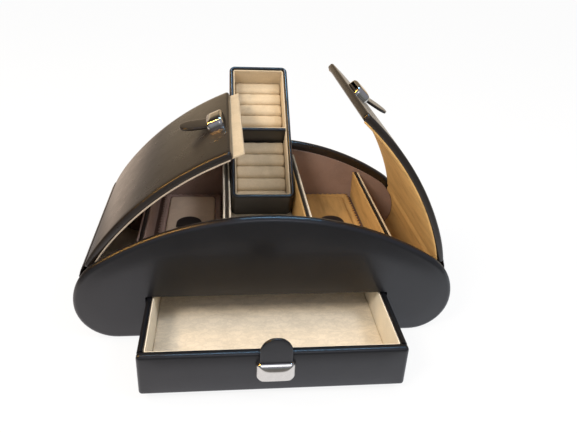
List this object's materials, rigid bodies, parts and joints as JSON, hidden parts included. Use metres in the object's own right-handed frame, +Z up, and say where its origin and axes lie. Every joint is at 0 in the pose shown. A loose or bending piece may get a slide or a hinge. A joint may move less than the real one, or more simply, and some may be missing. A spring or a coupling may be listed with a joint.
{
  "type": "ring display box",
  "caption": "Half-moon leather jewellery case with arched side lids, a pull-out drawer, lined compartments and a lift-out ring box with soft rolls.",
  "frame": {"origin": "centre of the case's flat felt base, on the surface that it stands on", "axes": "+X to the right along the width of the end panels, +Y to the back, away from the drawer front, +Z up"},
  "size_m": [0.3, 0.2954, 0.1857],
  "materials": {
    "leather": "satin black leather, lightly padded",
    "velour": "beige velour",
    "lining": "golden brown velour with a sheen",
    "felt": "black felt",
    "clasp": "polished",
    "hinge": "plain"
  },
  "bodies": {
    "case": {"front_panel": "leather", "back_panel": "leather", "front_ledge": "lining", "back_ledge": "lining", "base_board": "leather", "base_felt": "felt", "floor_board": "lining", "left_side_shell": "leather", "right_side_shell": "leather", "left_side_lining": "lining", "right_side_lining": "lining", "left_outer_divider": "leather", "right_outer_divider": "leather", "left_center_divider": "leather", "right_center_divider": "leather", "left_outer_divider_velour": "velour", "right_outer_divider_velour": "velour", "left_center_divider_velour": "velour", "right_center_divider_velour": "velour", "well_pad": "velour", "left_drawer_runner": "leather", "right_drawer_runner": "leather", "left_case_leaf": "hinge", "right_case_leaf": "hinge", "left_hinge_pin": "hinge", "right_hinge_pin": "hinge"},
    "left_lid": {"left_lid_shell": "leather", "left_lid_lining": "lining", "left_lid_lip": "velour", "left_lid_leaf": "hinge", "left_lid_strap": "leather", "left_lid_clasp": "clasp"},
    "right_lid": {"right_lid_shell": "leather", "right_lid_lining": "lining", "right_lid_leaf": "hinge", "right_lid_strap": "leather", "right_lid_clasp": "clasp"},
    "left_pad": {"left_floor_pad": "velour", "left_pad_tab": "leather"},
    "right_pad": {"right_floor_pad": "velour", "right_pad_tab": "leather"},
    "drawer": {"drawer_front": "leather", "drawer_shell": "leather", "drawer_bottom": "leather", "drawer_lining": "velour", "drawer_floor_pad": "velour", "drawer_tab": "leather", "drawer_clasp": "clasp"},
    "ring_box": {"ring_box_shell": "leather", "ring_box_base": "leather", "ring_box_lining": "velour", "ring_box_partition": "leather", "near_ring_rolls": "velour", "far_ring_rolls": "velour"}
  },
  "joints": [
    {"name": "left_lid_hinge", "type": "hinge", "parent": "case", "child": "left_lid", "pos_m": [-0.139, 0, 0.0549], "axis": [0, -1, 0], "range_deg": [0, 72]},
    {"name": "right_lid_hinge", "type": "hinge", "parent": "case", "child": "right_lid", "pos_m": [0.139, 0, 0.0549], "axis": [0, 1, 0], "range_deg": [-16, 54]},
    {"name": "drawer_slide", "type": "slide", "parent": "case", "child": "drawer", "axis": [0, -1, 0], "range_m": [-0.0689, 0.045]},
    {"name": "ring_box_lift", "type": "slide", "parent": "case", "child": "ring_box", "axis": [0, 0.8018, 0.5976], "range_m": [0, 0.12]},
    {"name": "left_pad_lift", "type": "slide", "parent": "case", "child": "left_pad", "axis": [0, 0, 1], "range_m": [0, 0.04]},
    {"name": "right_pad_lift", "type": "slide", "parent": "case", "child": "right_pad", "axis": [0, 0, 1], "range_m": [0, 0.04]}
  ]
}
